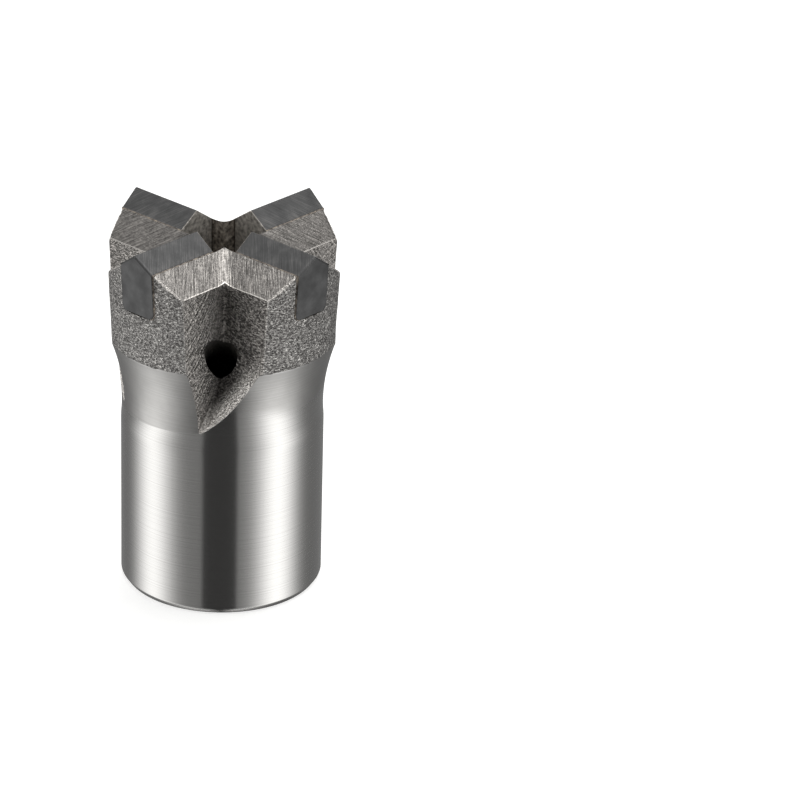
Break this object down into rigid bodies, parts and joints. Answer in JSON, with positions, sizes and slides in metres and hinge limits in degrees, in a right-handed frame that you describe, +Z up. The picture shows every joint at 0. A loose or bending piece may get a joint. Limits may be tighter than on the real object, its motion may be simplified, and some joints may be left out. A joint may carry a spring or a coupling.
{
  "type": "taper cross bit",
  "caption": "Rock drill bit: carbide inserts brazed in a cross-shaped steel crown over milled flutes with flushing holes, and a tapered socket for a drill rod.",
  "frame": {"origin": "centre of the foot's ring, at the mouth of the socket, on the surface that the bit stands on", "axes": "+Z up the bit's axis, from the socket to the crown; the wings lie along X and Y; the side flushing holes open towards +X-Y and -X+Y"},
  "size_m": [0.042, 0.042, 0.0648],
  "materials": {
    "steel": "forged and blasted crown, milled flutes, turned flare, polished skirt",
    "carbide": "ground tungsten carbide",
    "braze": "as brazed"
  },
  "bodies": {
    "root": {"bit_body": "steel", "insert_east": "carbide", "insert_north": "carbide", "insert_west": "carbide", "insert_south": "carbide", "braze_east": "braze", "braze_north": "braze", "braze_west": "braze", "braze_south": "braze"}
  },
  "joints": []
}
